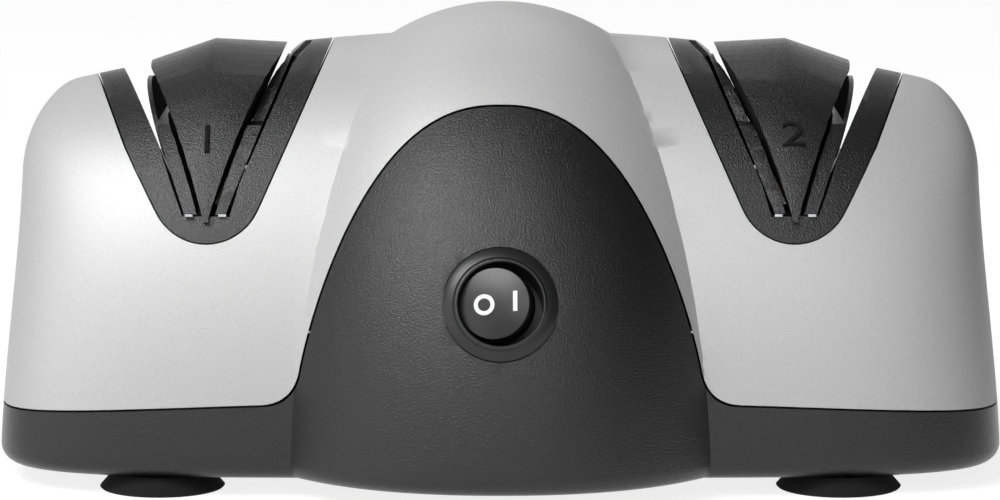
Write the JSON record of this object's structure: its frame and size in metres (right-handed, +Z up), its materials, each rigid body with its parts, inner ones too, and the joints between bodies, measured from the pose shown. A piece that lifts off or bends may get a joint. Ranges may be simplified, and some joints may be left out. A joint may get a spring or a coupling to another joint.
{
  "type": "electric knife sharpener",
  "caption": "Loaf-shaped electric knife sharpener: silver top cover, black base with an arched panel and round rocker switch, and a grinding stage with knife slots in each end.",
  "frame": {"origin": "under the middle of the body, on the surface that the suction feet stand on", "axes": "+X to the right along the body's length, +Y to the back, away from the switch, +Z up"},
  "size_m": [0.2114, 0.1186, 0.0983],
  "materials": {
    "silver_plastic": "satin metallic paint on plastic",
    "black_plastic": "fine leathery grain",
    "smooth_black_plastic": "smooth and satin",
    "foot_rubber": "matte",
    "steel": "zinc plated",
    "lamination_steel": "stacked punched sheets",
    "copper": "enamelled wire",
    "bronze": "sintered",
    "abrasive": "fine bonded abrasive",
    "nylon": "moulded"
  },
  "bodies": {
    "housing": {"base_housing": "black_plastic", "top_cover": "silver_plastic", "stage_1_guide": "black_plastic", "stage_2_guide": "black_plastic", "cover_screw_1": "steel", "cover_screw_2": "steel", "cover_screw_3": "steel", "cover_screw_4": "steel", "front_left_suction_foot": "foot_rubber", "front_right_suction_foot": "foot_rubber", "rear_left_suction_foot": "foot_rubber", "rear_right_suction_foot": "foot_rubber", "switch_housing": "smooth_black_plastic", "switch_terminal_left": "bronze", "switch_terminal_right": "bronze", "left_switch_lead": "copper", "right_switch_lead": "copper", "stator_stack": "lamination_steel", "coil_bobbin": "nylon", "field_coil": "copper", "left_bearing_bracket": "steel", "right_bearing_bracket": "steel", "left_bearing": "bronze", "right_bearing": "bronze", "front_motor_screw": "steel", "rear_motor_screw": "steel"},
    "rotor": {"drive_shaft": "steel", "rotor_core": "lamination_steel", "cooling_fan": "nylon", "stage_1_outer_wheel": "abrasive", "stage_1_inner_wheel": "abrasive", "stage_1_wheel_collar": "steel", "stage_1_wheel_nut": "steel", "stage_2_outer_wheel": "abrasive", "stage_2_inner_wheel": "abrasive", "stage_2_wheel_collar": "steel", "stage_2_wheel_nut": "steel"},
    "rocker": {"switch_rocker": "smooth_black_plastic"},
    "left_outer_spring": {"stage_1_outer_blade_spring": "smooth_black_plastic"},
    "left_inner_spring": {"stage_1_inner_blade_spring": "smooth_black_plastic"},
    "right_inner_spring": {"stage_2_inner_blade_spring": "smooth_black_plastic"},
    "right_outer_spring": {"stage_2_outer_blade_spring": "smooth_black_plastic"}
  },
  "joints": [
    {"name": "rotor_spin", "type": "hinge", "parent": "housing", "child": "rotor", "pos_m": [0, 0.0075, 0.042], "axis": [1, 0, 0], "continuous": true},
    {"name": "rocker_tilt", "type": "hinge", "parent": "housing", "child": "rocker", "pos_m": [0, -0.04927, 0.04141], "axis": [0, 0.3123, 0.95], "range_deg": [0, 28]},
    {"name": "left_outer_spring_flex", "type": "hinge", "parent": "housing", "child": "left_outer_spring", "pos_m": [-0.06391, 0.0075, 0.0577], "axis": [0, -1, 0], "range_deg": [0, 1.2], "stiffness_Nm_per_rad": 0.05, "springref_deg": -3.44},
    {"name": "left_inner_spring_flex", "type": "hinge", "parent": "housing", "child": "left_inner_spring", "pos_m": [-0.05788, 0.0075, 0.0577], "axis": [0, 1, 0], "range_deg": [0, 1.2], "stiffness_Nm_per_rad": 0.05, "springref_deg": -3.44},
    {"name": "right_inner_spring_flex", "type": "hinge", "parent": "housing", "child": "right_inner_spring", "pos_m": [0.05788, 0.0075, 0.0577], "axis": [0, -1, 0], "range_deg": [0, 1.2], "stiffness_Nm_per_rad": 0.05, "springref_deg": -3.44},
    {"name": "right_outer_spring_flex", "type": "hinge", "parent": "housing", "child": "right_outer_spring", "pos_m": [0.06391, 0.0075, 0.0577], "axis": [0, 1, 0], "range_deg": [0, 1.2], "stiffness_Nm_per_rad": 0.05, "springref_deg": -3.44}
  ]
}
